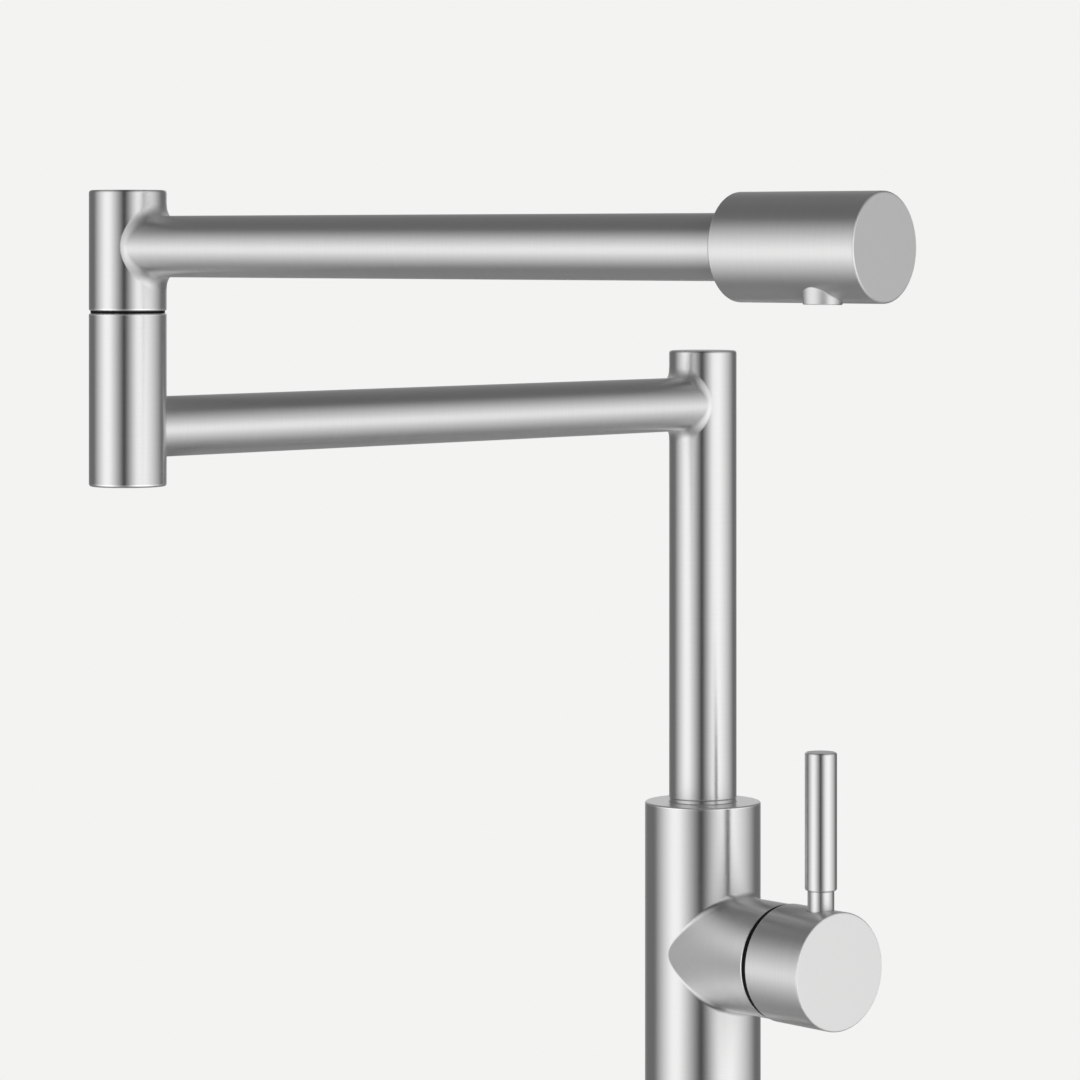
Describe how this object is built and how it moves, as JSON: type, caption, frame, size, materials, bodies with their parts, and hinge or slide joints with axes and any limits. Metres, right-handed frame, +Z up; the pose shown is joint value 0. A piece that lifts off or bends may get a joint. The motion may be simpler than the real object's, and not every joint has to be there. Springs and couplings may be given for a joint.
{
  "type": "folding pot filler tap",
  "caption": "Worktop mounted lever mixer with a jointed, folding pot filler spout and a cylindrical head with an upright outlet, in brushed stainless steel.",
  "frame": {"origin": "centre of the tap hole, on the worktop's upper surface, on the body's axis", "axes": "+Z up along the body, +X along the hub towards the lever, -Y to the front"},
  "size_m": [0.3974, 0.359, 0.4727],
  "materials": {
    "brushed_steel": "fine brushed satin",
    "plain_steel": "plain turned",
    "brass": "machined",
    "black_rubber": "matte",
    "black_plastic": "matte",
    "grey_plastic": "satin",
    "pale_plastic": "satin",
    "ceramic": "lapped alumina"
  },
  "bodies": {
    "body": {"base_ring": "brushed_steel", "deck_gasket": "black_rubber", "mounting_shank": "brass", "clamp_gasket": "black_rubber", "clamp_washer": "plain_steel", "lock_nut": "brass", "body_shell": "brushed_steel", "mixing_block": "brass", "cartridge_body": "grey_plastic", "cartridge_seals": "black_rubber", "ceramic_disc_fixed": "ceramic", "cartridge_nut": "brass", "hub_guide_ring": "black_plastic", "riser_bush": "pale_plastic", "riser_slide_ring": "brushed_steel", "riser_set_screw": "plain_steel"},
    "lever": {"lever_cap": "brushed_steel", "cap_set_screw": "plain_steel", "lever_neck": "brushed_steel", "lever_rod": "brushed_steel", "cartridge_spindle": "brass", "ceramic_disc_moving": "ceramic"},
    "lower_spout": {"riser_spigot": "brass", "riser_o_rings": "black_rubber", "riser_tube": "brushed_steel", "riser_cap": "brushed_steel", "lower_arm_tube": "brushed_steel", "lower_post": "brushed_steel", "lower_post_cap": "brushed_steel", "elbow_bush": "pale_plastic", "elbow_washer": "black_plastic", "elbow_set_screw": "plain_steel"},
    "upper_spout": {"elbow_spigot": "brass", "elbow_o_rings": "black_rubber", "upper_post": "brushed_steel", "upper_post_cap": "brushed_steel", "upper_arm_tube": "brushed_steel", "head_shell": "brushed_steel", "head_end_cap": "brushed_steel", "outlet_nozzle": "brushed_steel", "flow_insert": "pale_plastic", "outlet_seal": "black_rubber"}
  },
  "joints": [
    {"name": "lever_turn", "type": "hinge", "parent": "body", "child": "lever", "pos_m": [0.051, 0, 0.0993], "axis": [1, 0, 0], "range_deg": [0, 100]},
    {"name": "riser_swivel", "type": "hinge", "parent": "body", "child": "lower_spout", "pos_m": [0, 0, 0.16], "axis": [0, 0, 1], "continuous": true},
    {"name": "elbow_swivel", "type": "hinge", "parent": "lower_spout", "child": "upper_spout", "pos_m": [0.0437, -0.31902, 0.3668], "axis": [0, 0, 1], "continuous": true}
  ]
}
